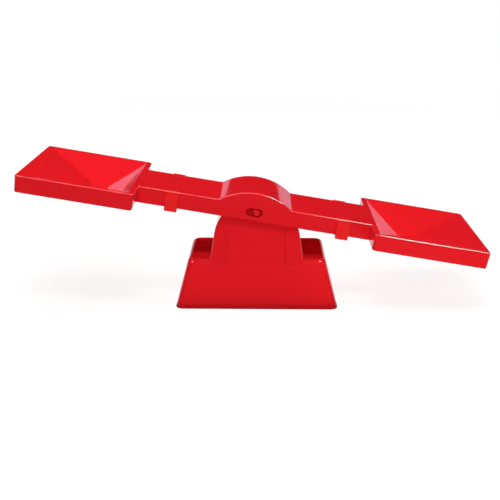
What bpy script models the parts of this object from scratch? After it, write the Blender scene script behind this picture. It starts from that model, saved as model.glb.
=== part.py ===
"""Toy balance scale in red moulded plastic: a beam with two pans that rocks on a hollow stand.

Metres, +Z up.  +X runs along the beam, -Y is the front.  The origin lies on the table, straight under
the knife edge that carries the beam.  The beam rests on its right-hand stop, with the right pan down.
"""
from math import asin, copysign, cos, hypot, pi, radians, sin, sqrt, tan

import bmesh
import bpy
from mathutils import Matrix

MM = 0.001

# Beam: two channel arms, a hump over the knife edge and a pan at each end
BEAM_LENGTH = 420 * MM
PAN_LENGTH = 104 * MM          # along the beam
PAN_WIDTH = 124 * MM           # across the beam
PAN_CORNER = 4 * MM            # plan radius of the pan's corners
PAN_DEPTH = 15.5 * MM          # from the rim down to the trough line
PAN_FLOOR = 2 * MM
PAN_INNER_RUN = 28 * MM        # run of the sloping end next to the arm
PAN_OUTER_RUN = 57 * MM        # run of the sloping end at the beam's tip
PAN_BORDER = 5 * MM            # flat border next to the arm
RIM_LEDGE = 0.5 * MM           # rim beyond the skirt wall
ARM_WIDTH = 64.4 * MM
SKIRT_HEIGHT = 15 * MM         # side walls of the arms and pans
SKIRT_WALL = 2.4 * MM
PAN_DRAFT = radians(2)         # lean of the pans' skirt walls
ARM_ROOF = 3 * MM
ARM_END_WALL = 2 * MM          # closes each arm's channel at the pan
HUMP_CHORD = 66 * MM
HUMP_RISE = 11 * MM            # crown above the arms' top face
TOP_EDGE = 1 * MM              # rounding along the top edges

# Knife edge, seat and retaining pin
PIVOT_HEIGHT = 100.5 * MM      # knife edge above the table
PIVOT_RISE = 6.5 * MM          # knife edge above the arms' top face
TILT_STOP = radians(9.5)       # the beam tips this far to either side
KNIFE_ANGLE = radians(35)      # half angle of the knife edge
KNIFE_TIP = 0.3 * MM           # half width of its blunted tip
SEAT_ANGLE = radians(60)       # half angle of the V seat under the crown
SEAT_DEPTH = 2.5 * MM          # seat block below the knife edge
SEAT_CHEEK = 2 * MM            # flat on each side of the V
PIN_DIAMETER = 5.8 * MM
PIN_DROP = 13.6 * MM           # pin axis below the knife edge
PIN_RECESS = 0.4 * MM          # pin ends behind the beam's outer faces
SLOT_LENGTH = 15.6 * MM
SLOT_PLAY = 1 * MM             # above and below the pin

# Stand: a low tier with a shelf, and the arched tower that reaches up into the beam
SHELF_HEIGHT = 43 * MM
SHELF_LENGTH = 126 * MM
SHELF_DEPTH = ARM_WIDTH + 3.4 * MM
END_SPREAD = 11.5 * MM         # foot beyond the shelf, at each end
FACE_SPREAD = 15 * MM          # foot beyond the shelf, front and back
TIER_CORNER = 7 * MM           # radius of the tier's upright corners
SHELF_EDGE = 4.5 * MM          # radius of the shelf's edge
STAND_WALL = 2.4 * MM
ARCH_DROP = 41.5 * MM          # arch centre below the knife edge
LAND_DROP = 6 * MM             # flat top of the arch below the knife edge
FLANK_DRAFT = radians(9)       # lean of the tower's flanks
FACE_DRAFT = radians(10.5)     # lean of its front and back faces
ARCH_EDGE = 2 * MM             # radius of the arch's front and back edges
RIB_SPACING = 54 * MM
RIB_WIDTH = 1.9 * MM
RIB_HEIGHT = 1.6 * MM          # proud of the tower's face
RIB_TOP_GAP = 3 * MM           # rib tops below the beam's lower edge at its stop

# Sliding compensators: C-shaped clips that trim the balance
CLIP_LENGTH = 11.5 * MM        # along the arm
CLIP_WALL = 1.6 * MM
CLIP_WEB = 3 * MM              # under the arm
CLIP_LIP = 0.4 * MM            # over the arm's top edges
CLIP_LIP_REACH = 3 * MM
CLIP_EDGE = 0.15 * MM
LEFT_CLIP_PLACE = 30.7 * MM    # middle of the clip, from the pan
RIGHT_CLIP_PLACE = 24.4 * MM

# Clearances
SEAT_GAP = 0.3 * MM            # between pieces that rest on each other
SIDE_PLAY = 0.6 * MM           # tower to channel wall, each side
STOP_GAP = 0.4 * MM            # tower to arm roof at the stop
OVERCUT = 1 * MM               # cutters run past the faces they open

# Worked out from the sizes above.  Heights in the beam are measured from the knife edge.
ARM_TOP = -PIVOT_RISE
ARM_BOTTOM = ARM_TOP - SKIRT_HEIGHT
ARM_INSIDE = ARM_WIDTH / 2 - SKIRT_WALL
BEAM_TIP = BEAM_LENGTH / 2
PAN_START = BEAM_TIP - PAN_LENGTH
HUMP_RADIUS = ((HUMP_CHORD / 2) ** 2 + HUMP_RISE ** 2) / (2 * HUMP_RISE)
HUMP_CENTRE = ARM_TOP + HUMP_RISE - HUMP_RADIUS
PIN_HEIGHT = PIVOT_HEIGHT - PIN_DROP
ARCH_HEIGHT = PIVOT_HEIGHT - ARCH_DROP
CLIP_INSIDE = ARM_WIDTH / 2 + SEAT_GAP


def arch_radius():
    """Largest arch that still clears the tilted arm roof and hump by the stop gap."""
    centre = (ARCH_DROP * sin(TILT_STOP), -ARCH_DROP * cos(TILT_STOP))
    roof, hump_inside = ARM_TOP - ARM_ROOF, HUMP_RADIUS - ARM_ROOF
    foot = sqrt(hump_inside ** 2 - (roof - HUMP_CENTRE) ** 2)
    to_foot = hypot(foot - centre[0], roof - centre[1])
    to_hump = hump_inside - hypot(centre[0], centre[1] - HUMP_CENTRE)
    return min(to_foot, to_hump) - STOP_GAP


ARCH_RADIUS = arch_radius()
LOWEST_EDGE = PIVOT_HEIGHT + ARM_BOTTOM * cos(TILT_STOP) - ARCH_RADIUS * tan(TILT_STOP)


for old in list(bpy.data.objects):
    bpy.data.objects.remove(old, do_unlink=True)

parts = bpy.data.collections.new("toy_balance_scale")
cutters = bpy.data.collections.new("cutters")
bpy.context.scene.collection.children.link(parts)
bpy.context.scene.collection.children.link(cutters)


def plastic(name, colour, roughness):
    """Glossy moulded plastic of one linear colour."""
    material = bpy.data.materials.new(name)
    material.use_nodes = True
    shader = material.node_tree.nodes["Principled BSDF"]
    shader.inputs["Base Color"].default_value = (*colour, 1)
    shader.inputs["Roughness"].default_value = roughness
    shader.inputs["Metallic"].default_value = 0
    return material


def add_object(name, bm, collection):
    """Object in its own frame, from a bmesh that it takes over, with faces that meet set exactly level."""
    for v in bm.verts:
        v.co = [round(c, 7) for c in v.co]
    mesh = bpy.data.meshes.new(name)
    bm.to_mesh(mesh)
    bm.free()
    obj = bpy.data.objects.new(name, mesh)
    collection.objects.link(obj)
    return obj


def add_part(name, bm, material):
    """One named piece of the object."""
    obj = add_object(name, bm, parts)
    obj.data.materials.append(material)
    return obj


def add_body(name, bm):
    """Hidden body that joins or cuts a piece."""
    body = add_object(name, bm, cutters)
    body.hide_render, body.display_type = True, "WIRE"
    return body


def shape(target, operation, body):
    """Unite a hidden body with a piece, or cut it away."""
    modifier = target.modifiers.new(body.name, "BOOLEAN")
    modifier.operation, modifier.object, modifier.solver = operation, body, "EXACT"


def hang_on(parent, piece, location):
    """Fix a piece's finished shape and hang it on its parent."""
    evaluated = piece.evaluated_get(bpy.context.evaluated_depsgraph_get())
    piece.data = bpy.data.meshes.new_from_object(evaluated)
    piece.modifiers.clear()
    piece.parent, piece.location = parent, location


def extruded(outline, half_depth, across="XZ"):
    """Outline in the XZ plane spread along Y to both sides, or one in the YZ plane spread along X."""
    curve = bpy.data.curves.new("outline", "CURVE")
    curve.dimensions, curve.fill_mode, curve.extrude = "2D", "BOTH", half_depth
    spline = curve.splines.new("POLY")
    spline.points.add(len(outline) - 1)
    spline.use_cyclic_u = True
    for point, (a, b) in zip(spline.points, outline):
        point.co = (a, b, 0, 1)
    obj = bpy.data.objects.new("outline", curve)
    cutters.objects.link(obj)
    evaluated = obj.evaluated_get(bpy.context.evaluated_depsgraph_get())
    mesh = bpy.data.meshes.new_from_object(evaluated)
    bm = bmesh.new()
    bm.from_mesh(mesh)
    bpy.data.objects.remove(obj)
    bmesh.ops.remove_doubles(bm, verts=bm.verts, dist=1e-6)
    bmesh.ops.dissolve_limit(bm, angle_limit=radians(0.5), verts=bm.verts, edges=bm.edges)
    turn = Matrix.Rotation(pi / 2, 4, "X")
    if across == "YZ":
        turn = Matrix.Rotation(pi / 2, 4, "Z") @ turn
    bmesh.ops.transform(bm, matrix=turn, verts=bm.verts)
    bmesh.ops.recalc_face_normals(bm, faces=bm.faces)
    return bm


def arc(centre, radius, start, end, steps):
    """Points on a circle, from one angle to another."""
    angles = [start + (end - start) * i / steps for i in range(steps + 1)]
    return [(centre[0] + radius * cos(a), centre[1] + radius * sin(a)) for a in angles]


def box(low, high):
    """Axis-aligned block between two corners."""
    size = [b - a for a, b in zip(low, high)]
    middle = [(a + b) / 2 for a, b in zip(low, high)]
    bm = bmesh.new()
    bmesh.ops.create_cube(bm, matrix=Matrix.LocRotScale(middle, None, size))
    return bm


def round_edges(bm, wanted, radius, segments):
    """Round the sharp edges whose two ends pass a test."""
    edges = [e for e in bm.edges if e.calc_face_angle(0) > radians(30) and wanted(*(v.co for v in e.verts))]
    bmesh.ops.bevel(bm, geom=edges, offset=radius, segments=segments, profile=0.5, affect="EDGES")


def close_to(a, b):
    return abs(a - b) < 1e-6


def block_with_rounding(low, high, corner, top):
    """Block with rounded upright corners and a rounded top edge."""
    bm = box(low, high)
    round_edges(bm, lambda a, b: close_to(a.x, b.x) and close_to(a.y, b.y), corner, 6)
    round_edges(bm, lambda a, b: close_to(a.z, high[2]) and close_to(b.z, high[2]), top, 2)
    return bm


# The beam, with its knife edge at the origin of its own frame
def pan_block(side):
    """Pan before it is hollowed, with skirt walls that lean in towards their lower edge."""
    ends = sorted((side * PAN_START, side * BEAM_TIP))
    low = (ends[0], -PAN_WIDTH / 2, ARM_BOTTOM)
    bm = block_with_rounding(low, (ends[1], PAN_WIDTH / 2, ARM_TOP), PAN_CORNER, TOP_EDGE)
    for v in bm.verts:
        lean = (ARM_TOP - v.co.z) * tan(PAN_DRAFT)
        v.co.x -= copysign(lean, v.co.x - sum(ends) / 2)
        v.co.y -= copysign(lean, v.co.y)
    return bm


def pan_hollow(side, lower):
    """Hip-shaped recess: a trough along the beam between two sloping ends, cut open above."""
    inner = PAN_START + PAN_BORDER
    outer = BEAM_TIP - SKIRT_WALL - RIM_LEDGE
    half = PAN_WIDTH / 2 - SKIRT_WALL - RIM_LEDGE
    trough = (inner + PAN_INNER_RUN, outer - PAN_OUTER_RUN)
    rise = (PAN_DEPTH + OVERCUT + lower) / PAN_DEPTH
    bm = bmesh.new()
    bmesh.ops.create_cube(bm, size=2)
    for v in bm.verts:
        along, across, up = v.co
        ridge = trough[1] if along > 0 else trough[0]
        rim = outer if along > 0 else inner
        if up > 0:
            v.co = (ridge + (rim - ridge) * rise, across * half * rise, ARM_TOP + OVERCUT)
        else:
            v.co = (ridge, 0, ARM_TOP - lower - PAN_DEPTH)
        v.co.x *= side
    bmesh.ops.remove_doubles(bm, verts=bm.verts, dist=1e-6)
    bmesh.ops.recalc_face_normals(bm, faces=bm.faces)
    return bm


def pan_underside(side):
    """Space between the skirt walls, below the pan's border."""
    ends = sorted((side * (PAN_START + SKIRT_WALL), side * (BEAM_TIP - SKIRT_WALL)))
    half = PAN_WIDTH / 2 - SKIRT_WALL
    low = (ends[0], -half, ARM_BOTTOM - OVERCUT)
    bm = box(low, (ends[1], half, ARM_TOP - PAN_FLOOR))
    inside = PAN_CORNER - SKIRT_WALL
    if inside > 0:
        round_edges(bm, lambda a, b: close_to(a.x, b.x) and close_to(a.y, b.y), inside, 4)
    return bm


def arm_outline(inset, end, bottom):
    """Side view of the arms and hump, drawn in by a wall's thickness."""
    radius, top = HUMP_RADIUS - inset, ARM_TOP - inset
    swing = asin((top - HUMP_CENTRE) / radius)
    hump = arc((0, HUMP_CENTRE), radius, swing, pi - swing, 24)
    return [(-end, bottom), (end, bottom), (end, top), *hump, (-end, top)]


red = plastic("red_abs", (0.70, 0.0105, 0.0165), 0.2)
clip_red = plastic("clip_red_abs", (0.78, 0.014, 0.0175), 0.22)

pivot = bpy.data.objects.new("pivot", None)
pivot.location, pivot.rotation_euler = (0, 0, PIVOT_HEIGHT), (0, TILT_STOP, 0)
parts.objects.link(pivot)

SIDES = ((-1, "left"), (1, "right"))
arms = extruded(arm_outline(0, PAN_START + PAN_BORDER / 2, ARM_BOTTOM), ARM_WIDTH / 2)
round_edges(arms, lambda a, b: close_to(a.y, b.y) and min(a.z, b.z) > ARM_BOTTOM + 1e-6, TOP_EDGE, 2)
beam = add_part("beam", arms, red)
for side, word in SIDES:
    shape(beam, "UNION", add_body(f"{word}_pan_block", pan_block(side)))
channel = arm_outline(ARM_ROOF, PAN_START + SKIRT_WALL - ARM_END_WALL, ARM_BOTTOM - OVERCUT)
shape(beam, "DIFFERENCE", add_body("arm_channel", extruded(channel, ARM_INSIDE)))
for side, word in SIDES:
    space = add_body(f"{word}_pan_underside", pan_underside(side))
    shape(space, "DIFFERENCE", add_body(f"{word}_pan_floor", pan_hollow(side, PAN_FLOOR)))
    shape(beam, "DIFFERENCE", space)
    shape(beam, "DIFFERENCE", add_body(f"{word}_pan_hollow", pan_hollow(side, 0)))

# V seat under the hump's crown, between the channel walls
mouth = (SEAT_DEPTH + SEAT_GAP) * tan(SEAT_ANGLE)
cheek = mouth + SEAT_CHEEK
crown = ARM_TOP + HUMP_RISE - ARM_ROOF / 2
seat = [(-cheek, crown), (-cheek, -SEAT_DEPTH), (-mouth, -SEAT_DEPTH), (0, SEAT_GAP),
        (mouth, -SEAT_DEPTH), (cheek, -SEAT_DEPTH), (cheek, crown)]
shape(beam, "UNION", add_body("v_seat", extruded(seat, ARM_INSIDE + SKIRT_WALL / 2)))

# Slots for the retaining pin, through both channel walls
slot_radius = PIN_DIAMETER / 2 + SLOT_PLAY
slot_half = SLOT_LENGTH / 2 - slot_radius
slot_height = -PIN_DROP * (1 + cos(TILT_STOP)) / 2
slot = [*arc((slot_half, slot_height), slot_radius, -pi / 2, pi / 2, 10),
        *arc((-slot_half, slot_height), slot_radius, pi / 2, 3 * pi / 2, 10)]
shape(beam, "DIFFERENCE", add_body("pin_slots", extruded(slot, ARM_WIDTH / 2 + OVERCUT)))
hang_on(pivot, beam, (0, 0, 0))


# The stand
def tier_block(inset, bottom):
    """Lower tier, tapering from the foot to the shelf, drawn in by a wall's thickness."""
    leans = (END_SPREAD / SHELF_HEIGHT, FACE_SPREAD / SHELF_HEIGHT)
    top = SHELF_HEIGHT - inset
    bm = bmesh.new()
    bmesh.ops.create_cube(bm, size=2)
    for v in bm.verts:
        z = top if v.co.z > 0 else bottom
        end, face = [(SHELF_HEIGHT - z) * lean - inset * hypot(1, lean) for lean in leans]
        v.co = (v.co.x * (SHELF_LENGTH / 2 + end), v.co.y * (SHELF_DEPTH / 2 + face), z)
    round_edges(bm, lambda a, b: not close_to(a.z, b.z), TIER_CORNER - inset, 5)
    round_edges(bm, lambda a, b: close_to(a.z, top) and close_to(b.z, top), SHELF_EDGE - inset, 4)
    return bm


def tower_face(height):
    """Half depth of the tower at a height: it clears the channel walls where the beam dips lowest."""
    return ARM_INSIDE - SIDE_PLAY + (LOWEST_EDGE - height) * tan(FACE_DRAFT)


def tower_block(inset, bottom):
    """Arched tower with leaning flanks and faces, drawn in by a wall's thickness."""
    radius = ARCH_RADIUS - inset
    land = PIVOT_HEIGHT - LAND_DROP - inset
    top = asin((land - ARCH_HEIGHT) / radius)
    half = radius / cos(FLANK_DRAFT) + (ARCH_HEIGHT - bottom) * tan(FLANK_DRAFT)
    right = arc((0, ARCH_HEIGHT), radius, FLANK_DRAFT, top, 14)
    left = [(-x, z) for x, z in reversed(right)]
    bm = extruded([(-half, bottom), (half, bottom), *right, *left], 1)
    for v in bm.verts:
        v.co.y *= tower_face(v.co.z) - inset
    if ARCH_EDGE > inset:
        round_edges(bm, lambda a, b: a.y * b.y > 0 and max(a.z, b.z) > bottom + 1e-6, ARCH_EDGE - inset, 3)
    return bm


stand = add_part("base", tier_block(0, 0), red)
tower_foot = SHELF_HEIGHT - SHELF_EDGE - STAND_WALL
shape(stand, "UNION", add_body("tower", tower_block(0, tower_foot)))

# Knife edge across the arch's flat top
land = PIVOT_HEIGHT - LAND_DROP
root = KNIFE_TIP + (LAND_DROP + OVERCUT) * tan(KNIFE_ANGLE)
knife = [(-root, land - OVERCUT), (root, land - OVERCUT), (KNIFE_TIP, PIVOT_HEIGHT), (-KNIFE_TIP, PIVOT_HEIGHT)]
shape(stand, "UNION", add_body("knife_edge", extruded(knife, tower_face(land) - ARCH_EDGE)))

# Two slim ribs down the tower's front and back
rib_top, rib_foot = LOWEST_EDGE - RIB_TOP_GAP, SHELF_HEIGHT - SHELF_EDGE / 2
for side, word in SIDES:
    for face, name in ((-1, "front"), (1, "back")):
        x = side * RIB_SPACING / 2
        rib = box((x - RIB_WIDTH / 2, -0.5, rib_foot), (x + RIB_WIDTH / 2, 0.5, rib_top))
        for v in rib.verts:
            proud = RIB_HEIGHT if v.co.y * face > 0 else -STAND_WALL / 2
            v.co.y = face * (tower_face(v.co.z) + proud)
        shape(stand, "UNION", add_body(f"{word}_{name}_rib", rib))

# Open underneath, and bored for the pin
shape(stand, "DIFFERENCE", add_body("tier_hollow", tier_block(STAND_WALL, -OVERCUT)))
shape(stand, "DIFFERENCE", add_body("tower_hollow", tower_block(STAND_WALL, tower_foot - STAND_WALL)))


def rod(radius, half_length, sides=32):
    """Round bar along Y at the pin's height."""
    bm = bmesh.new()
    bmesh.ops.create_cone(bm, cap_ends=True, segments=sides, radius1=radius, radius2=radius,
                          depth=2 * half_length, matrix=Matrix.Rotation(pi / 2, 4, "X"))
    return bm


bore = rod(PIN_DIAMETER / 2 + SEAT_GAP, ARM_WIDTH / 2)
bmesh.ops.translate(bore, vec=(0, 0, PIN_HEIGHT), verts=bore.verts)
shape(stand, "DIFFERENCE", add_body("pin_bore", bore))

pin = add_part("retaining_pin", rod(PIN_DIAMETER / 2, ARM_WIDTH / 2 - PIN_RECESS), red)
pin.location.z = PIN_HEIGHT
pin.data.shade_smooth()
pin.data.set_sharp_from_angle(angle=radians(40))


# The compensators, free to slide along the arms
def clip():
    """C-shaped clip: a web under the arm, a leg on each side and lips over the top edges."""
    inside, outside = CLIP_INSIDE, CLIP_INSIDE + CLIP_WALL
    lip = inside - CLIP_LIP_REACH
    over, under = ARM_TOP + SEAT_GAP, ARM_BOTTOM - SEAT_GAP
    top, bottom = over + CLIP_LIP, under - CLIP_WEB
    half = [(inside, under), (inside, over), (lip, over), (lip, top), (outside, top), (outside, bottom)]
    return extruded(half + [(-a, b) for a, b in reversed(half)], CLIP_LENGTH / 2, "YZ")


for (side, word), place in zip(SIDES, (LEFT_CLIP_PLACE, RIGHT_CLIP_PLACE)):
    piece = add_part(f"compensator_{word}", clip(), clip_red)
    piece.parent, piece.location = pivot, (side * (PAN_START - place), 0, 0)
    soft = piece.modifiers.new("soft_edges", "BEVEL")
    soft.width, soft.segments, soft.limit_method, soft.angle_limit = CLIP_EDGE, 2, "ANGLE", radians(60)
    soft.offset_type = "OFFSET"
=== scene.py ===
# %% [markdown]
# # A toy balance scale in glossy red plastic
# The real object is five pieces: a hollow stand, a beam with a pan at each end, a pin that keeps the beam on
# its knife edge, and two small clips that slide along the arms to trim the balance.
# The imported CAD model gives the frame. Each piece is drawn again here as a finer surface, so that its edges
# are round and its light runs smoothly, and it takes the place of its CAD solid.

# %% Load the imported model
from math import asin, cos, hypot, pi, radians, sin, tan

import bmesh
import bpy
import numpy as np
from mathutils import Matrix, Vector


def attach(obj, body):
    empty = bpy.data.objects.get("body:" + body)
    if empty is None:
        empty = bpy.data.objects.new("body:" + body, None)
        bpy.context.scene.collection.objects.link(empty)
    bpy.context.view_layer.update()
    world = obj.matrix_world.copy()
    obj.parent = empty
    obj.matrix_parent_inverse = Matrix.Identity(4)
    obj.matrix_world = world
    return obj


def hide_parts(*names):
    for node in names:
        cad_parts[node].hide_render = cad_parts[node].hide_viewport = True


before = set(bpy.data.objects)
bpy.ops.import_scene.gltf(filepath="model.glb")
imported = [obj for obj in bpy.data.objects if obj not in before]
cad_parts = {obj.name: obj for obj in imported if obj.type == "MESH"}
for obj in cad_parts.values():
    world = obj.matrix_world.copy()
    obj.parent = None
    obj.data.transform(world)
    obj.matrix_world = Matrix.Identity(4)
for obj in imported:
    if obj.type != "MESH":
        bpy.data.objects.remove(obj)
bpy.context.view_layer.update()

# %% [markdown]
# ## From a grid of points to a closed skin
# Every surface below is a grid of points worked out in millimetres. A closed loop carried through a row
# of places gives a skin, and neighbours on the grid give its quads. Seams and poles fall on the same
# spot, so merging doubles closes them, and then the faces can be turned outwards.

# %% Skins
MM = 0.001
SAME_SPOT, SLIVER = 0.002 * MM, 0.001 * MM


def closed(mesh):
    """Merge the doubles at seams and poles, then turn the faces outwards."""
    bm = bmesh.new()
    bm.from_mesh(mesh)
    bmesh.ops.remove_doubles(bm, verts=bm.verts, dist=SAME_SPOT)
    bmesh.ops.dissolve_degenerate(bm, edges=bm.edges, dist=SLIVER)
    bmesh.ops.recalc_face_normals(bm, faces=bm.faces)
    bm.to_mesh(mesh)
    bm.free()
    return mesh


def skin(grid, wrap_rows=False, cap_ends=False):
    """Mesh of a grid (rows, columns, xyz): each quad joins two neighbours in a loop with the next loop's."""
    rows, columns = grid.shape[:2]
    i, j = np.meshgrid(np.arange(rows if wrap_rows else rows - 1), np.arange(columns), indexing="ij")
    below, beside = (i + 1) % rows, (j + 1) % columns
    corners = [i * columns + j, i * columns + beside, below * columns + beside, below * columns + j]
    faces = np.stack(corners, -1).reshape(-1, 4).tolist()
    if cap_ends:
        faces += [list(range(columns)), list(range((rows - 1) * columns, rows * columns))]
    mesh = bpy.data.meshes.new("skin")
    mesh.from_pydata((grid.reshape(-1, 3) * MM).tolist(), [], faces)
    return closed(mesh)


print("points within", round(SAME_SPOT / MM, 4), "mm of each other are merged")

# %% [markdown]
# ## From skins to a piece
# A moulding is one piece of plastic, but it is easier to draw as several skins that run into each other, as
# the tower runs into the tier. One mesh holds them all. Round faces are shaded smooth, and a crease stays
# where two faces meet at more than a set angle. The piece rides on its body and hides the CAD solid that it
# stands for, and a count of open edges shows at once whether a skin has a hole.

# %% Pieces
CREASE = radians(32)


def moulding(name, skins, body, node):
    """One piece of the object from its skins; it rides on a body and stands for a CAD node."""
    bm = bmesh.new()
    for mesh in skins:
        bm.from_mesh(mesh)
        bpy.data.meshes.remove(mesh)
    mesh = bpy.data.meshes.new(name)
    bm.to_mesh(mesh)
    bm.free()
    mesh.shade_smooth()
    mesh.set_sharp_from_angle(angle=CREASE)
    piece = bpy.data.objects.new(name, mesh)
    bpy.context.scene.collection.objects.link(piece)
    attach(piece, body)
    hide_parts(node)
    sides = np.empty(len(mesh.loops), dtype=np.int64)
    mesh.loops.foreach_get("edge_index", sides)
    print(f"{name}: {len(mesh.polygons)} faces, {(np.bincount(sides) != 2).sum()} open edges")
    return piece


# %% [markdown]
# ## Rounded rectangles
# The stand's tier and the pans are rounded rectangles at every level. Bevelled planes would do for one level.
# Here one function gives a loop for each row of sizes, always with the same number of points, so that any two
# levels can be joined by quads.


# %% Rounded rectangles
def rounded_loops(low_x, high_x, half_y, corner, steps=8, side=8):
    """Rounded rectangles, one per row: four quarter circles of the corner radius, and straight sides."""
    low_x, high_x, half_y, corner = (np.asarray(a, float)[..., None, None] for a in
                                     np.broadcast_arrays(low_x, high_x, half_y, corner))
    quarter = np.arange(4)[:, None]
    angle = np.radians(quarter * 90 + np.linspace(0, 90, steps + 1))
    right, far = np.isin(quarter, (0, 3)), quarter < 2
    x = np.where(right, high_x - corner, low_x + corner) + corner * np.cos(angle)
    y = np.where(far, half_y - corner, corner - half_y) + corner * np.sin(angle)
    share = np.arange(1, side) / side
    loops = []
    for a in (x, y):
        straight = a[..., -1:] * (1 - share) + np.roll(a, -1, axis=-2)[..., :1] * share
        loops.append(np.concatenate([a, straight], axis=-1).reshape(*a.shape[:-2], -1))
    return np.stack(loops, axis=-1)


def at_levels(loops, levels):
    """Flat loops lifted to their levels, as a grid of points."""
    return np.concatenate([loops, np.broadcast_to(levels[:, None, None], (*loops.shape[:2], 1))], -1)


print("points in a loop:", len(rounded_loops(-1, 1, 1, 0.5)))

# %% [markdown]
# ## The stand's lower tier
# The tier is a hollow box that spreads to its foot, with a generous rounding round the shelf.
# It could be a bevelled cube, but a stack of rounded rectangles says exactly how each level looks:
# over the shelf, round its edge, down the sloping wall, under the rim and back up inside.

# %% Tier
STAND_WALL, TIER_CORNER, LEAST_CORNER, SHELF_EDGE = 2.4, 7.0, 1.2, 4.5
SHELF_HEIGHT, SHELF_HALF = 43.0, (63.0, 33.9)
SHELF_HOLE, FLAT_MARGIN = (41.6, 30.0), 0.4           # the shelf stops below the tower's walls
LEANS = 11.5 / SHELF_HEIGHT, 15.0 / SHELF_HEIGHT      # of the end walls, and of the front and back
WALL_LEVELS = np.array([34, 20, 6, 0.6, 0.16, 0])
RIM_EASE = 0.12, 0.5, -0.5, -0.16                     # rounds the rim that stands on the table
EDGE_TURN = np.linspace(pi / 2, 0.2, 14)


def tier_spread(z, inset, lean):
    """Reach beyond the shelf's outline at a height: a circle round its edge, then the leaning wall."""
    radius, middle, slant = SHELF_EDGE - inset, SHELF_HEIGHT - SHELF_EDGE, hypot(1, lean)
    wall = (SHELF_HEIGHT - z) * lean - inset * slant
    bend = SHELF_EDGE * (lean - slant) + np.sqrt(np.clip(radius ** 2 - (z - middle) ** 2, 0, None))
    return np.where(z > middle + radius * lean / slant, bend, wall)


def with_ends(row, end):
    """A row of values with two more at both ends: on the flat of the shelf, and where the shelf stops."""
    return np.concatenate([[end, row[0] - FLAT_MARGIN], row, [row[-1] - FLAT_MARGIN, end]])


outer_z = np.concatenate([SHELF_HEIGHT - SHELF_EDGE * (1 - np.sin(EDGE_TURN)), WALL_LEVELS])
inner_edge = SHELF_HEIGHT - SHELF_EDGE + (SHELF_EDGE - STAND_WALL) * np.sin(EDGE_TURN[::-1])
inner_z = np.concatenate([WALL_LEVELS[::-1], inner_edge])
rim = outer_z.size
ease = np.zeros(rim + inner_z.size)
ease[rim - 2:rim + 2] = RIM_EASE
reach_x, reach_y = (
    np.concatenate([tier_spread(outer_z, 0, lean), tier_spread(inner_z, STAND_WALL, lean)]) - ease
    for lean in LEANS)
height = np.concatenate([outer_z, inner_z])
corner = np.clip(TIER_CORNER + reach_y - (SHELF_HEIGHT - height) * LEANS[1], LEAST_CORNER, None)
half_x = with_ends(SHELF_HALF[0] + reach_x, SHELF_HOLE[0])
half_y = with_ends(SHELF_HALF[1] + reach_y, SHELF_HOLE[1])
loops = rounded_loops(-half_x, half_x, half_y, with_ends(corner, LEAST_CORNER))
height = np.concatenate([[SHELF_HEIGHT] * 2, height, [SHELF_HEIGHT - STAND_WALL] * 2])
tier = skin(at_levels(loops, height), wrap_rows=True)
print("tier", len(tier.polygons), "faces")

# %% [markdown]
# ## The tower's outline
# Seen from the front the tower is an arch: two leaning flanks, a round shoulder and a short flat land under
# the knife edge. Its front and back lean towards each other. It could be traced as a list of points, but as
# a formula it can be drawn in by an inset, which gives the inside and the rounded edge as well.

# %% Tower outline
PIVOT_HEIGHT = 100.5
ARCH_HEIGHT, ARCH_RADIUS, LAND_HEIGHT = 59.0, 39.83, 94.5
FLANK_DRAFT, FACE_DRAFT = radians(9), radians(10.5)
FACE_HALF, FACE_AT = 29.2, 72.63         # half depth of the tower, at the height where the beam dips lowest
TOWER_FOOT = SHELF_HEIGHT - STAND_WALL / 2


def tower_face(z):
    """Half depth of the tower at a height: a steady lean from the depth where the beam dips lowest."""
    return FACE_HALF + (FACE_AT - z) * tan(FACE_DRAFT)


def arch_outline(inset):
    """Front view drawn in by an inset, from the left foot over the arch to the right foot."""
    radius, land = ARCH_RADIUS - inset, LAND_HEIGHT - inset
    top = asin((land - ARCH_HEIGHT) / radius)
    turn = np.linspace(FLANK_DRAFT, top, 40)
    x, z = radius * np.cos(turn), ARCH_HEIGHT + radius * np.sin(turn)
    foot = radius / cos(FLANK_DRAFT) + (ARCH_HEIGHT - TOWER_FOOT) * tan(FLANK_DRAFT)
    share = np.linspace(0, 1, 12)[:-1]
    x = np.concatenate([foot + (x[0] - foot) * share, x])
    z = np.concatenate([TOWER_FOOT + (z[0] - TOWER_FOOT) * share, z])
    flat = np.linspace(-x[-1], x[-1], 9)[1:-1]
    return np.concatenate([-x, flat, x[::-1]]), np.concatenate([z, np.full(flat.size, land), z[::-1]])


foot_width, foot_depth = 2 * arch_outline(0)[0][-1], 2 * tower_face(TOWER_FOOT)
print("tower's foot", round(float(foot_width), 1), "by", round(foot_depth, 1), "mm")

# %% [markdown]
# ## The tower
# One strip is carried along that outline. It starts at the foot of the front face, climbs to the rim, turns
# over the rounded edge, crosses the top and comes down the back. The same strip, drawn in by the wall
# thickness, lines the inside. A block could be hollowed with a boolean instead, but the strip keeps the quads
# even, so the round shoulder takes the light without a flaw.

# %% Tower
ARCH_EDGE, INNER_EDGE = 2.0, 0.4
FACE_ROWS = np.array([0, 0.2, 0.45, 0.7, 0.9, 0.985])[:, None]
TOP_ROWS = np.array([0.98, 0.93, 0.88, 0.5, 0, -0.5, -0.88, -0.93, -0.98])
FOOT_DROP, DROP_BELOW, FOOT_HALF = 4.8, 52.0, 42.0
DROP_FROM, DROP_OVER = 30.0, 4.0         # half depth where the drop begins, and how soon it is whole


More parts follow.
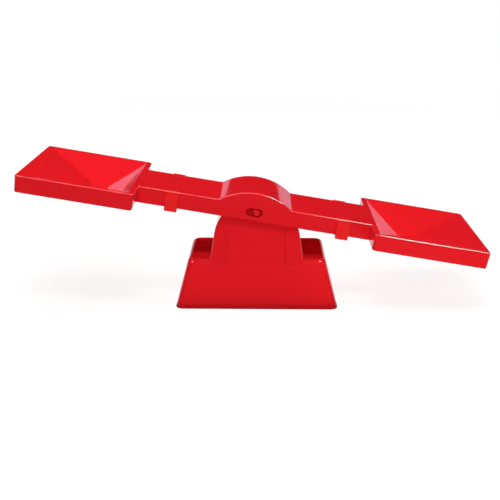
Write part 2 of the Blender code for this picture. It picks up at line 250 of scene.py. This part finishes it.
def tower_strip(inset, edge):
    """Front face, rounded edge, top, rounded edge and back face along the arch, as rows of one strip."""
    far_x, far_z = arch_outline(inset + edge)
    base_x = np.linspace(far_x[0], far_x[-1], far_x.size)
    face_x, face_z = base_x + (far_x - base_x) * FACE_ROWS, TOWER_FOOT + (far_z - TOWER_FOOT) * FACE_ROWS
    face = np.stack([face_x, inset - tower_face(face_z), face_z], -1)
    bend = [np.stack([x, inset + edge * (1 - cos(t)) - tower_face(z), z], -1)
            for t in np.linspace(0, pi / 2, 7) for x, z in [arch_outline(inset + edge * (1 - sin(t)))]]
    front = np.concatenate([face, np.array(bend)])
    same = np.ones_like(TOP_ROWS)
    top = front[-1] * np.stack([same, TOP_ROWS, same], -1)[:, None]
    return np.concatenate([front, top, front[::-1] * np.array([1, -1, 1])])


def down_to_wall(grid):
    """The foot of the front and back drawn down the lean of the faces, until it lies in the tier's wall."""
    x, y, z = np.moveaxis(grid, -1, 0)
    near_foot = np.clip((DROP_BELOW - z) / (DROP_BELOW - TOWER_FOOT), 0, 1)
    drop = FOOT_DROP * np.clip((np.abs(y) - DROP_FROM) / DROP_OVER, 0, 1) * near_foot
    wider = 1 + drop * tan(FLANK_DRAFT) / FOOT_HALF
    return np.stack([x * wider, y + np.sign(y) * drop * tan(FACE_DRAFT), z - drop], -1)


strip = np.concatenate([tower_strip(0, ARCH_EDGE), tower_strip(STAND_WALL, INNER_EDGE)[::-1]])
tower = skin(down_to_wall(strip).transpose(1, 0, 2), cap_ends=True)
print("tower", len(tower.polygons), "faces")

# %% [markdown]
# ## Knife edge
# The beam rocks on a ridge across the tower's top. A wedge would do from afar, but a moulded ridge is never
# quite sharp, so its profile ends in a small arc. The profile is carried along a straight line.

# %% Knife edge
TIP_RADIUS, TIP_FROM = 0.36, radians(35)
RIDGE_HALF, RIDGE_SINK, RIDGE_MARGIN = 4.9, 1.0, 0.3


def straight_run(profile, places):
    """Profile of (x, z) points carried along y: each row of the grid is the whole profile at one place."""
    x, y, z = np.broadcast_arrays(profile[:, 0], np.asarray(places, float)[:, None], profile[:, 1])
    return np.stack([x, y, z], -1)


tip = np.linspace(TIP_FROM, pi - TIP_FROM, 9)
tip_points = np.stack([TIP_RADIUS * np.cos(tip), PIVOT_HEIGHT - TIP_RADIUS * (1 - np.sin(tip))], -1)
ridge_foot = LAND_HEIGHT - RIDGE_SINK
ridge = np.concatenate([[(RIDGE_HALF, ridge_foot)], tip_points, [(-RIDGE_HALF, ridge_foot)]])
run = tower_face(LAND_HEIGHT) - ARCH_EDGE
knife = skin(straight_run(ridge, [-run, RIDGE_MARGIN - run, 0, run - RIDGE_MARGIN, run]), cap_ends=True)
print("knife edge", round(2 * run, 1), "mm long")

# %% [markdown]
# ## Ribs
# Four slim ribs stiffen the tower's faces, and in the light they are what breaks the plain front. A bevelled
# box would stand off a leaning face, so each rib is a small section with two round edges that follows the
# lean, and that is drawn in towards both ends to give it a round nose.

# %% Ribs
RIB_AT, RIB_HALF, RIB_PROUD, RIB_ROOT = 27.0, 0.95, 1.6, 1.2
RIB_ROUND, RIB_NOSE, RIB_MARGIN = 0.5, 0.9, 2.0
RIB_FOOT, RIB_TOP = 40.75, 69.63
turn = np.linspace(0, pi / 2, 6)
edge_x = RIB_HALF - RIB_ROUND + RIB_ROUND * np.cos(turn)
edge_n = RIB_PROUD - RIB_ROUND + RIB_ROUND * np.sin(turn)
rib_x = np.concatenate([[RIB_HALF], edge_x, -edge_x[::-1], [-RIB_HALF]])
rib_n = np.concatenate([[-RIB_ROOT], edge_n, edge_n[::-1], [-RIB_ROOT]])
nose_z, nose_n = RIB_NOSE * (1 - np.sin(turn)), RIB_NOSE * (1 - np.cos(turn))
middle_z = np.linspace(RIB_FOOT + RIB_MARGIN, RIB_TOP - RIB_MARGIN, 8)
rib_z = np.concatenate([RIB_FOOT + nose_z[::-1], middle_z, RIB_TOP - nose_z])[:, None]
shrink = np.concatenate([nose_n[::-1], np.zeros(middle_z.size), nose_n])[:, None]
x, z, proud = np.broadcast_arrays(rib_x, rib_z, np.where(rib_n > 0, rib_n - shrink, rib_n))
ribs = [skin(np.stack([side * RIB_AT + x, face * (tower_face(z) + proud), z], -1), cap_ends=True)
        for side in (-1, 1) for face in (-1, 1)]
stand = moulding("stand_moulding", [tier, tower, knife, *ribs], "stand", "base")

# %% [markdown]
# ## The beam's tilt
# The beam is drawn level, with its levels counted from the knife edge, and its points are turned about the
# knife edge before they become a skin. The finished object could be turned instead, but its place belongs in
# its mesh, so that patterns in the material stay where they are.

# %% Tilt
TILT = radians(9.5)
BEAM_TIP, ARM_TOP, ARM_BOTTOM = 210.0, -6.5, -21.5


def on_beam(points):
    """Beam coordinates turned by the tilt about the knife edge, then lifted to the knife edge's height."""
    u, v, w = np.moveaxis(points, -1, 0)
    return np.stack([u * cos(TILT) + w * sin(TILT), v, PIVOT_HEIGHT - u * sin(TILT) + w * cos(TILT)], -1)


print("each tip is", round(BEAM_TIP * sin(TILT), 1), "mm from level")

# %% [markdown]
# ## A pan's floor
# The floor is folded like a hip roof turned over: a trough along the beam, two long sides and two sloping
# ends. Four flat faces would give its shape but no softness. Loops that shrink from the rim to the trough
# make the same folds, and the depth can be eased where the floor leaves the rim and meets the trough.

# %% Pan floor
RECESS, RECESS_CORNER = (111.0, 207.1, 59.1), 1.0     # start, end and half width
TROUGH = (139.0, 150.1)                               # start and end
PAN_DEPTH, RIM_EASE_SHARE, TROUGH_EASE_SHARE = 15.5, 0.003, 0.024


def folded_floor(level):
    """Loops from the rim to the trough: plan points move in straight lines, depth follows with eased ends."""
    near_rim, near_trough = np.linspace(0, 3 * RIM_EASE_SHARE, 7), 1 - np.linspace(0.04, 0, 7)
    k = np.concatenate([near_rim, [0.1, 0.3, 0.5, 0.7, 0.9], near_trough])[:, None]
    rim_loop = rounded_loops(*RECESS, RECESS_CORNER)
    straight = RECESS[1] - RECESS[0] - 2 * RECESS_CORNER
    share = np.clip((rim_loop[:, 0] - RECESS[0] - RECESS_CORNER) / straight, 0, 1)
    trough = TROUGH[0] + (TROUGH[1] - TROUGH[0]) * share
    eased = np.where(k < 2 * RIM_EASE_SHARE, k ** 2 / (4 * RIM_EASE_SHARE), k - RIM_EASE_SHARE)
    left = 1 - k
    rounded = 1 - RIM_EASE_SHARE - TROUGH_EASE_SHARE / 2 - left ** 2 / (2 * TROUGH_EASE_SHARE)
    depth = PAN_DEPTH * np.where(left < TROUGH_EASE_SHARE, rounded, eased)
    u = rim_loop[:, 0] * left + trough * k
    v = rim_loop[:, 1] * left
    return np.stack([u, v, np.broadcast_to(level - depth, u.shape)], -1)


print("trough", round(float(ARM_TOP - folded_floor(ARM_TOP)[..., 2].min()), 2), "mm below the rim")

# %% [markdown]
# ## The pans
# A pan is a tray with a deep skirt. One closed loop runs from the trough up to the rim, over the edge, down
# the skirt and back underneath, so floor and skirt are one skin of even thickness. A Solidify modifier could
# give the thickness too, but it would leave the skirt's lower edge square.

# %% Pans
PAN_START, PAN_HALF, PAN_CORNER, PAN_DRAFT = 106.0, 62.0, 4.0, radians(2)
PAN_FLOOR, SKIRT_WALL, TOP_EDGE, EDGE_MARGIN = 2.0, 2.4, 1.0, 0.3


def pan_loop(inset, level):
    """The pan's plan outline drawn in by an inset, at a level."""
    inset, level = np.atleast_1d(inset), np.atleast_1d(level)
    corner = np.clip(PAN_CORNER - inset, LEAST_CORNER, None)
    return at_levels(rounded_loops(PAN_START + inset, BEAM_TIP - inset, PAN_HALF - inset, corner), level)


turn = np.linspace(0, pi / 2, 7)
edge_level = ARM_TOP - TOP_EDGE + TOP_EDGE * np.cos(turn)
edge_inset = TOP_EDGE * (1 - np.sin(turn)) + (ARM_TOP - edge_level) * tan(PAN_DRAFT)
# Down the outside of the skirt and up its inside, with the lower edge and the corner under the floor rounded.
wall_level = np.concatenate([ARM_TOP - np.array([1.5, 4.5, 10.5]), ARM_BOTTOM + np.array([0.9, 0.4, 0.1, 0])])
wall_inset = (ARM_TOP - wall_level) * tan(PAN_DRAFT) + np.array([0, 0, 0, 0, 0.06, 0.24, 0.5])
under = ARM_TOP - PAN_FLOOR
inside_level = np.concatenate([ARM_BOTTOM + np.array([0, 0.1, 0.5, 6.5]),
                               under - np.array([1.5, 0.5, 0.2, 0.05, 0])])
inside_inset = SKIRT_WALL + np.array([-0.45, -0.16, 0, 0, 0, 0.1, 0.25, 0.45, 0.8])
pan_grid = np.concatenate([folded_floor(ARM_TOP)[::-1], pan_loop(TOP_EDGE + EDGE_MARGIN, ARM_TOP),
                           pan_loop(edge_inset, edge_level), pan_loop(wall_inset, wall_level),
                           pan_loop(inside_inset, inside_level), folded_floor(under)])
pans = [skin(on_beam(pan_grid * np.array([side, 1, 1]))) for side in (-1, 1)]
print("pan skin", pan_grid.shape[0], "loops of", pan_grid.shape[1])

# %% [markdown]
# ## Arms and hump
# Between the pans the beam is an upturned channel whose roof rises in a hump over the knife edge. It could
# be modelled as a bevelled box, but one section carried along the beam keeps the rounded edges even over the
# hump. The section's points hang on three lines: the lower edge, the roof and the roof's inside.

# %% Arms and hump
ARM_HALF, ARM_ROOF = 32.2, 3.0
INNER_HALF = ARM_HALF - SKIRT_WALL
HUMP_HALF, HUMP_RISE = 33.0, 11.0
HUMP_RADIUS = (HUMP_HALF ** 2 + HUMP_RISE ** 2) / (2 * HUMP_RISE)
HUMP_CENTRE = ARM_TOP + HUMP_RISE - HUMP_RADIUS
LOWER, ROOF, INSIDE = 0, 1, 2


def roof_line(u, inset, soft=0.5):
    """The higher of the flat top and the hump's circle, blended over about a millimetre where they meet."""
    flat = ARM_TOP - inset
    hump = HUMP_CENTRE + np.sqrt(np.clip((HUMP_RADIUS - inset) ** 2 - u ** 2, 0, None))
    return (flat + hump + np.sqrt((flat - hump) ** 2 + soft ** 2)) / 2


# Each point is its distance from the middle, its height above its line, and the line it hangs on.
outer = np.array([(ARM_HALF - 0.5, 0, LOWER), (ARM_HALF - 0.15, 0.15, LOWER), (ARM_HALF, 0.5, LOWER),
                  (ARM_HALF, 7, LOWER), (ARM_HALF, -TOP_EDGE - EDGE_MARGIN, ROOF),
                  *[(ARM_HALF - TOP_EDGE * (1 - cos(t)), TOP_EDGE * (sin(t) - 1), ROOF) for t in turn],
                  (ARM_HALF - TOP_EDGE - EDGE_MARGIN, 0, ROOF), (20, 0, ROOF), (8, 0, ROOF)])
inner = np.array([(8, 0, INSIDE), (20, 0, INSIDE), (INNER_HALF - 1, 0, INSIDE),
                  (INNER_HALF - 0.5, -0.15, INSIDE), (INNER_HALF - 0.15, -0.5, INSIDE),
                  (INNER_HALF, -1, INSIDE), (INNER_HALF, 7, LOWER), (INNER_HALF, 0.5, LOWER),
                  (INNER_HALF + 0.15, 0.15, LOWER), (INNER_HALF + 0.5, 0, LOWER)])
mirror = np.array([-1, 1, 1])
v, w, line = np.concatenate([outer, outer[::-1] * mirror, inner[::-1] * mirror, inner]).T
arm_u = np.concatenate([np.linspace(HUMP_HALF + 5, PAN_START - 2, 12), PAN_START + np.array([0.6, 1])])
u = np.concatenate([-arm_u[::-1], np.linspace(-HUMP_HALF - 4, HUMP_HALF + 4, 149), arm_u])
lines = np.stack([np.full(u.size, ARM_BOTTOM), roof_line(u, 0), roof_line(u, ARM_ROOF)])
level = lines[line.astype(int)].T + w
arms = skin(on_beam(np.stack(np.broadcast_arrays(u[:, None], v, level), -1)), cap_ends=True)
print("hump crown", round(float(roof_line(np.array(0.0), 0)), 2), "mm above the knife edge")

# %% [markdown]
# ## Slots
# The pin passes through a long slot in each wall. A real slot is a hole left by a core in the mould, so here
# a stadium-shaped rod is taken out of the arms, and a narrow bevel breaks the slot's edge.

# %% Slots
SLOT_HALF, SLOT_RADIUS, SLOT_LEVEL = 3.9, 3.9, -13.5
SLOT_REACH, SLOT_EASE = 40.0, 0.3


def take_out(mesh, rod):
    """Mesh less a rod, with the new edges broken by a narrow bevel."""
    target, tool = (bpy.data.objects.new("trial", m) for m in (mesh, rod))
    for obj in (target, tool):
        bpy.context.scene.collection.objects.link(obj)
    cut = target.modifiers.new("slot", "BOOLEAN")
    cut.operation, cut.solver, cut.object = "DIFFERENCE", "EXACT", tool
    soft = target.modifiers.new("edge", "BEVEL")
    soft.width, soft.segments, soft.limit_method, soft.angle_limit = SLOT_EASE * MM, 3, "ANGLE", radians(60)
    result = bpy.data.meshes.new_from_object(target.evaluated_get(bpy.context.evaluated_depsgraph_get()))
    for obj in (target, tool):
        bpy.data.objects.remove(obj)
    return result


around = np.linspace(-pi / 2, 3 * pi / 2, 49)[:-1]
slot_u = SLOT_RADIUS * np.cos(around) + SLOT_HALF * np.sign(np.round(np.cos(around), 6))
slot_outline = np.stack([slot_u, SLOT_LEVEL + SLOT_RADIUS * np.sin(around)], -1)
arms = take_out(arms, skin(on_beam(straight_run(slot_outline, [-SLOT_REACH, SLOT_REACH])), cap_ends=True))
print("arms with slots", len(arms.polygons), "faces")

# %% [markdown]
# ## Seat
# Inside the hump a bar with a V in its underside rests on the knife edge. It hardly shows, so it is a plain
# outline carried from wall to wall, with a small gap where the real one touches.

# %% Seat
SEAT_GAP, SEAT_DEPTH, SEAT_SLOPE = 0.3, 2.8, radians(60)
SEAT_WALL, SEAT_TOP, SEAT_REACH = 2.0, 3.0, 31.0
mouth, lip = SEAT_DEPTH * tan(SEAT_SLOPE), SEAT_GAP - SEAT_DEPTH
seat_half = [(mouth, lip), (mouth + SEAT_WALL, lip), (mouth + SEAT_WALL, SEAT_TOP)]
seat_outline = np.array([(-u, w) for u, w in seat_half[::-1]] + [(0, SEAT_GAP)] + seat_half)
seat = skin(on_beam(straight_run(seat_outline, [-SEAT_REACH, -15, 0, 15, SEAT_REACH])), cap_ends=True)
beam = moulding("beam_moulding", [arms, seat, *pans], "beam", "beam")

# %% [markdown]
# ## Retaining pin
# A plain rod keeps the beam from lifting off. A cylinder with a bevel would come close, but the end that
# shows in the slot is very slightly domed, so it is a turned shape: a half profile swept round its own axis.

# %% Pin
PIN_HEIGHT, PIN_RADIUS, PIN_HALF = 86.9, 2.9, 31.8
PIN_EASE, PIN_DOME = 0.6, 0.18
turn = np.linspace(0, pi / 2, 6)
end_r = np.concatenate([[0, 1.0, 1.9], PIN_RADIUS - PIN_EASE + PIN_EASE * np.sin(turn), [PIN_RADIUS]])
end_y = np.concatenate([[0, 0.02, 0.1], PIN_DOME + PIN_EASE * (1 - np.cos(turn)), [1.4]])
radius = np.concatenate([end_r, end_r[::-1]])[:, None]
place = np.concatenate([end_y - PIN_HALF, (PIN_HALF - end_y)[::-1]])[:, None]
around = np.linspace(0, 2 * pi, 49)[:-1]
pin_grid = np.broadcast_arrays(radius * np.cos(around), place, PIN_HEIGHT + radius * np.sin(around))
rod = skin(np.stack(pin_grid, -1))
pin = moulding("retaining_pin_turned", [rod], "stand", "retaining_pin")

# %% [markdown]
# ## Sliding compensators
# Each clip is a band bent round the arm like a C, thick underneath and with thin lips over the top edges.
# A bevelled box cannot round each corner by its own radius, so the outline is drawn corner by corner with an
# arc in each, and then carried a short way along the arm with eased ends.


# %% Clips
def rounded_outline(corners, radius, steps=6):
    """Outline points and outward normals: at each corner an arc that touches both sides."""
    corners, radius = np.asarray(corners, float), np.asarray(radius, float)[:, None]
    back = np.roll(corners, 1, axis=0) - corners
    ahead = np.roll(corners, -1, axis=0) - corners
    back, ahead = (a / np.linalg.norm(a, axis=1, keepdims=True) for a in (back, ahead))
    half = np.arccos(np.clip((back * ahead).sum(1, keepdims=True), -1, 1)) / 2
    middle = back + ahead
    centre = corners + middle / np.linalg.norm(middle, axis=1, keepdims=True) * radius / np.sin(half)
    start, end = (corners + a * radius / np.tan(half) - centre for a in (back, ahead))
    share, turn = np.linspace(0, 1, steps)[None, :, None], (pi - 2 * half)[:, :, None]
    spoke = (np.sin((1 - share) * turn) * start[:, None] + np.sin(share * turn) * end[:, None]) / np.sin(turn)
    convex = np.sign(ahead[:, 0] * back[:, 1] - ahead[:, 1] * back[:, 0])[:, None, None]
    return (centre[:, None] + spoke).reshape(-1, 2), (spoke / radius[:, None] * convex).reshape(-1, 2)


CLIP_HALF, CLIP_EASE, CLIP_MARGIN, CLIP_PLACES = 5.75, 0.13, 0.8, {"left": -75.3, "right": 81.6}
CLIP_GAP, CLIP_WALL, CLIP_SOLE = 0.3, 1.6, 3.0
LIP_GAP, LIP_WALL, LIP_REACH = 0.15, 0.3, 3.0
inside, floor, lip = ARM_HALF + CLIP_GAP, ARM_BOTTOM - CLIP_GAP, ARM_TOP + LIP_GAP
half_clip = [(inside, floor), (inside, lip), (inside - LIP_REACH, lip), (inside - LIP_REACH, lip + LIP_WALL),
             (inside + CLIP_WALL, lip + LIP_WALL), (inside + CLIP_WALL, floor - CLIP_SOLE)]
corner_r = [0.4, 0.3, 0.14, 0.14, 1.4, 0.6]
clip_corners = half_clip[::-1] + [(-a, b) for a, b in half_clip]
outline, normal = rounded_outline(clip_corners, corner_r[::-1] + corner_r)
turn = np.linspace(0, pi / 2, 5)
end_u, end_in = CLIP_HALF - CLIP_EASE * (1 - np.cos(turn)), CLIP_EASE * (1 - np.sin(turn))
ease_u = np.concatenate([-end_u, [CLIP_MARGIN - CLIP_HALF, CLIP_HALF - CLIP_MARGIN], end_u[::-1]])
draw_in = np.concatenate([end_in, [0, 0], end_in[::-1]])
band = outline - normal * draw_in[:, None, None]
clips = []
for word, place in CLIP_PLACES.items():
    grid = np.concatenate([np.broadcast_to(place + ease_u[:, None, None], (*band.shape[:2], 1)), band], -1)
    clips.append(moulding(f"trim_clip_{word}", [skin(on_beam(grid), cap_ends=True)], f"{word}_compensator",
                          f"compensator_{word}"))

# %% [markdown]
# ## Moulded ABS
# The object is self-coloured ABS from a polished mould. The colour is even, with a faint drift where the
# melt flowed; the gloss is high and breaks up a little where hands have rubbed it; and the flat walls are not
# quite flat, because the plastic shrank behind them. These are drawn with noise at their real sizes. So is
# the polish of the mould, only coarser than it is, because a finer one would not show.


# %% Materials
def linear(code):
    """sRGB hex colour as linear RGBA."""
    srgb = np.array([int(code[i:i + 2], 16) for i in (1, 3, 5)]) / 255
    return (*np.where(srgb <= 0.04045, srgb / 12.92, ((srgb + 0.055) / 1.055) ** 2.4), 1)


def node(tree, kind, links=(), settings=(), **sockets):
    """Add a node, set its settings and socket values, and link outputs to its inputs."""
    made = tree.nodes.new(kind)
    for key, value in dict(settings).items():
        setattr(made, key, value)
    for key, value in sockets.items():
        made.inputs[key.replace("_", " ")].default_value = value
    for source, target in links:
        tree.links.new(source, made.inputs[target])
    return made


COLOUR_A, COLOUR_B, COLOUR_OUT = 6, 7, 2              # a Mix node's sockets for colours
FLOW, RUB, WAVE, POLISH = 90 * MM, 14 * MM, 35 * MM, 0.8 * MM


def moulded_abs(name, colour, deeper, gloss):
    """Glossy ABS: noise for colour drift, rubbed gloss, shrinkage waves and mould polish, at their sizes."""
    material = bpy.data.materials.new(name)
    material.use_nodes = True
    tree = material.node_tree
    tree.nodes.clear()
    place = node(tree, "ShaderNodeTexCoord").outputs["Object"]
    flow = node(tree, "ShaderNodeTexNoise", [(place, "Vector")], Scale=1 / FLOW, Detail=2.0)
    tint = node(tree, "ShaderNodeMix", [(flow.outputs["Fac"], "Factor")], {"data_type": "RGBA"})
    tint.inputs[COLOUR_A].default_value = linear(colour)
    tint.inputs[COLOUR_B].default_value = linear(deeper)
    rubbed = node(tree, "ShaderNodeTexNoise", [(place, "Vector")], Scale=1 / RUB, Detail=5.0)
    rough = node(tree, "ShaderNodeMapRange", [(rubbed.outputs["Fac"], "Value")],
                 From_Min=0.3, From_Max=0.7, To_Min=gloss - 0.025, To_Max=gloss + 0.035)
    waves = node(tree, "ShaderNodeTexNoise", [(place, "Vector")], Scale=1 / WAVE, Detail=1.0)
    shrunk = node(tree, "ShaderNodeBump", [(waves.outputs["Fac"], "Height")],
                  Strength=0.25, Distance=0.2 * MM)
    polish = node(tree, "ShaderNodeTexNoise", [(place, "Vector")], Scale=1 / POLISH, Detail=2.0)
    relief = node(tree, "ShaderNodeBump",
                  [(polish.outputs["Fac"], "Height"), (shrunk.outputs["Normal"], "Normal")],
                  Strength=0.06, Distance=0.02 * MM)
    shader = node(tree, "ShaderNodeBsdfPrincipled",
                  [(tint.outputs[COLOUR_OUT], "Base Color"), (rough.outputs["Result"], "Roughness"),
                   (relief.outputs["Normal"], "Normal")], Metallic=0.0, IOR=1.53)
    node(tree, "ShaderNodeOutputMaterial", [(shader.outputs["BSDF"], "Surface")])
    return material


red_abs = moulded_abs("moulded_red_ABS", "#E71C25", "#E21B23", 0.07)
clip_abs = moulded_abs("moulded_warm_red_ABS", "#F31F20", "#EE1E1F", 0.12)
for pieces, plastic in (((stand, beam, pin), red_abs), (clips, clip_abs)):
    for piece in pieces:
        piece.data.materials.append(plastic)
print("materials:", red_abs.name, clip_abs.name)

# %% [markdown]
# ## Camera
# The camera stands almost square to the beam and looks down about nineteen degrees. It could be placed by
# eye, but its place and lens were fitted to the long straight edges of the object, so that these fall where
# they were photographed.

# %% Camera
AZIMUTH, ELEVATION, ROLL = radians(1.17), radians(18.92), radians(0.12)
AIM, DISTANCE = np.array([-6.82, 0, 40.74]), 799.6
FOCAL_PX, PICTURE_PX, SENSOR = 836.0, 500, 36
back = np.array([sin(AZIMUTH) * cos(ELEVATION), -cos(AZIMUTH) * cos(ELEVATION), sin(ELEVATION)])
right = np.array([cos(AZIMUTH), sin(AZIMUTH), 0])
up = np.cross(back, right)
right, up = right * cos(ROLL) - up * sin(ROLL), up * cos(ROLL) + right * sin(ROLL)
spot = (AIM + back * DISTANCE) * MM
turned = np.eye(4)
turned[:3] = np.stack([right, up, back, spot], 1)
camera = bpy.data.objects.new("camera", bpy.data.cameras.new("camera"))
bpy.context.scene.collection.objects.link(camera)
camera.matrix_world = Matrix(turned.tolist())
camera.data.sensor_width, camera.data.lens = SENSOR, SENSOR * FOCAL_PX / PICTURE_PX
camera.data.clip_start, camera.data.clip_end = 0.05, 60
bpy.context.scene.camera = camera
print("camera at", np.round(spot, 3).tolist(), "lens", round(camera.data.lens, 1))

# %% [markdown]
# ## Floor
# The object stands on a white sweep. Plain white paper under strong light would do, but then the light would
# also burn out the red, so the paper glows a little by itself. Its front part is kept out of the reflections
# and throws no light, as a dark apron on the photographer's side would do.

# %% Floor
ROOM_HALF, FLOOR_SPLIT = 8, -0.03        # in metres, as all of the stage is
FLOOR_WHITE, FLOOR_GLOW = 0.18, (0.87, 1.0)


def sheet(name, corners, material):
    """Flat sheet from its corners in metres."""
    mesh = bpy.data.meshes.new(name)
    mesh.from_pydata(corners, [], [range(len(corners))])
    mesh.materials.append(material)
    made = bpy.data.objects.new(name, mesh)
    bpy.context.scene.collection.objects.link(made)
    return made


def flat_sheet(name, x, y, z, material):
    """Level sheet between two values of x and of y, at a height."""
    return sheet(name, [(x[0], y[0], z), (x[1], y[0], z), (x[1], y[1], z), (x[0], y[1], z)], material)


def white_paper(name, diffuse, near, far, colour="#FFFFFF"):
    """White paper that also glows, from one strength near the middle to another far from it."""
    material = bpy.data.materials.new(name)
    material.use_nodes = True
    tree = material.node_tree
    tree.nodes.clear()
    place = node(tree, "ShaderNodeTexCoord").outputs["Object"]
    away = node(tree, "ShaderNodeVectorMath", [(place, 0)], {"operation": "LENGTH"})
    glow = node(tree, "ShaderNodeMapRange", [(away.outputs["Value"], "Value")],
                From_Min=0.2, From_Max=1.6, To_Min=near, To_Max=far)
    shader = node(tree, "ShaderNodeBsdfPrincipled", [(glow.outputs["Result"], "Emission Strength")],
                  Base_Color=(diffuse, diffuse, diffuse, 1), Roughness=0.9, Specular_IOR_Level=0.0,
                  Emission_Color=linear(colour))
    node(tree, "ShaderNodeOutputMaterial", [(shader.outputs["BSDF"], "Surface")])
    return material


apron, sweep = (
    flat_sheet(name, (-ROOM_HALF, ROOM_HALF), span, 0, white_paper(paper, FLOOR_WHITE, *FLOOR_GLOW))
    for name, span, paper in (("floor_front", (-ROOM_HALF, FLOOR_SPLIT), "front_paper"),
                              ("floor_back", (FLOOR_SPLIT, ROOM_HALF), "white_paper")))
apron.visible_glossy = apron.visible_diffuse = False
print("floor:", apron.name, sweep.name)

# %% [markdown]
# ## Cards
# What glossy plastic mirrors can be set apart from what lights it, as a photographer does with cards. A low
# card and two strips behind the object show in its sloping faces as crisp pale patches, and cards overhead
# show along its rounded edges. Two cards on the floor in front only throw light up. None of them is seen
# by the camera.

# %% Cards
CARD_AT, STRIP_AT = 1, 1.2
TOP_CARD_SPAN, TOP_CARD_HEIGHT = (0, 0.7), 1.15
BOUNCE_SPAN, BOUNCE_HEIGHT = (-1, -0.055), 0.002


def glowing_card(name, glow, colour="#FFFFFF"):
    """Card that glows evenly and scatters no light."""
    return white_paper(name, 0.0, glow, glow, colour)


def upright_sheet(name, y, outline, material):
    """Upright sheet that faces the object, from the (x, z) points of its outline."""
    return sheet(name, [(x, y, z) for x, z in outline], material)


card_outline = [(-3, 0), (3, 0), (3, 0.21), (0.28, 0.21),
                (-0.27, 0.275), (-0.36, 0.275), (-0.37, 0.2), (-3, 0.2)]
left_outline = [(-0.52, 0.804), (-0.33, 0.667), (-0.33, 0.8), (-0.52, 0.9)]
right_outline = [(0.56, 0.59), (0.8, 0.59), (0.8, 0.7), (0.56, 0.7)]
card = upright_sheet("backdrop_card", CARD_AT, card_outline, glowing_card("bright_card", 0.65, "#FFE4FF"))
strips = [upright_sheet(f"back_strip_{word}", STRIP_AT, outline,
                        glowing_card(f"strip_light_{word}", glow, colour))
          for word, outline, glow, colour in (("left", left_outline, 1.67, "#F2E2FF"),
                                              ("right", right_outline, 1.5, "#FFE2FF"))]
bounces = [flat_sheet(f"bounce_card_{word}", ends, BOUNCE_SPAN, BOUNCE_HEIGHT,
                      glowing_card(f"bounce_paper_{word}", glow))
           for word, ends, glow in (("left", (-1, 0.05), 1.0), ("right", (0.05, 1), 1.5))]
top_cards = [flat_sheet(f"top_card_{word}", ends, TOP_CARD_SPAN, TOP_CARD_HEIGHT,
                        glowing_card(f"top_light_{word}", glow))
             for word, ends, glow in (("left", (-1.2, 0.5), 7), ("right", (0.5, 1.2), 30))]
for made in (card, *strips, *bounces, *top_cards):
    made.visible_camera = False
for made in bounces:
    made.visible_glossy = False
for made in top_cards:
    made.visible_diffuse = False
print("cards:", [made.name for made in (card, *strips, *bounces, *top_cards)])

# %% [markdown]
# ## Walls
# Four white walls close the room, so that the ground behind the object is white from every side. A white
# world would do the same, but it would also light the object and show in its gloss. The walls do neither.

# %% Walls
WALL_HEIGHT = 6
WALL_ENDS = {"front": [(-1, -1), (1, -1)], "back": [(-1, 1), (1, 1)],
             "left": [(-1, -1), (-1, 1)], "right": [(1, -1), (1, 1)]}
wall_paper = glowing_card("wall_paper", 1.0)
for word, ends in WALL_ENDS.items():
    (a, b), (c, d) = np.array(ends) * ROOM_HALF
    wall = sheet(f"wall_{word}", [(a, b, 0), (c, d, 0), (c, d, WALL_HEIGHT), (a, b, WALL_HEIGHT)], wall_paper)
    wall.visible_glossy = wall.visible_diffuse = False
print("walls", WALL_HEIGHT, "m high")

# %% [markdown]
# ## Lamps
# Three soft lamps light the plastic from above and in front, and do not show in it. Two small lamps do the
# opposite: they only show, as the glints on the stand's front corners.


# %% Lamps
def softbox(name, place, aim, width, height, power):
    """Rectangular lamp at a place, turned to face a point."""
    lamp = bpy.data.objects.new(name, bpy.data.lights.new(name, "AREA"))
    lamp.data.shape, lamp.data.size, lamp.data.size_y, lamp.data.energy = "RECTANGLE", width, height, power
    bpy.context.scene.collection.objects.link(lamp)
    facing = (Vector(place) - Vector(aim)).to_track_quat("Z", "Y")
    lamp.matrix_world = Matrix.Translation(place) @ facing.to_matrix().to_4x4()
    return lamp


MIDDLE = (0, 0, 0.06)
overhead = softbox("overhead", (0, 0.15, 1.15), (0, 0, 0.05), 1.4, 0.5, 10)
key = softbox("key", (0, -0.5, 1.2), MIDDLE, 0.35, 0.2, 6.5)
fill = softbox("fill", (0, -1.1, 0.62), MIDDLE, 0.5, 0.3, 3)
overhead.visible_glossy = key.visible_glossy = fill.visible_glossy = False
spark_left = softbox("spark_left", (-1, -0.6, 0.9), MIDDLE, 0.36, 0.36, 9)
spark_right = softbox("spark_right", (0.46, -0.24, 0.9), MIDDLE, 0.28, 0.28, 9)
spark_left.visible_diffuse = spark_right.visible_diffuse = False
scene = bpy.context.scene
scene.world = world = bpy.data.worlds.new("soft_room")
world.use_nodes = True
world.node_tree.nodes["Background"].inputs["Color"].default_value = (1, 1, 1, 1)
world.node_tree.nodes["Background"].inputs["Strength"].default_value = 0.08
world.cycles_visibility.glossy = False
scene.view_settings.view_transform = "Standard"
scene.view_settings.look = "None"
print("lamps:", [lamp.name for lamp in (overhead, key, fill, spark_left, spark_right)])
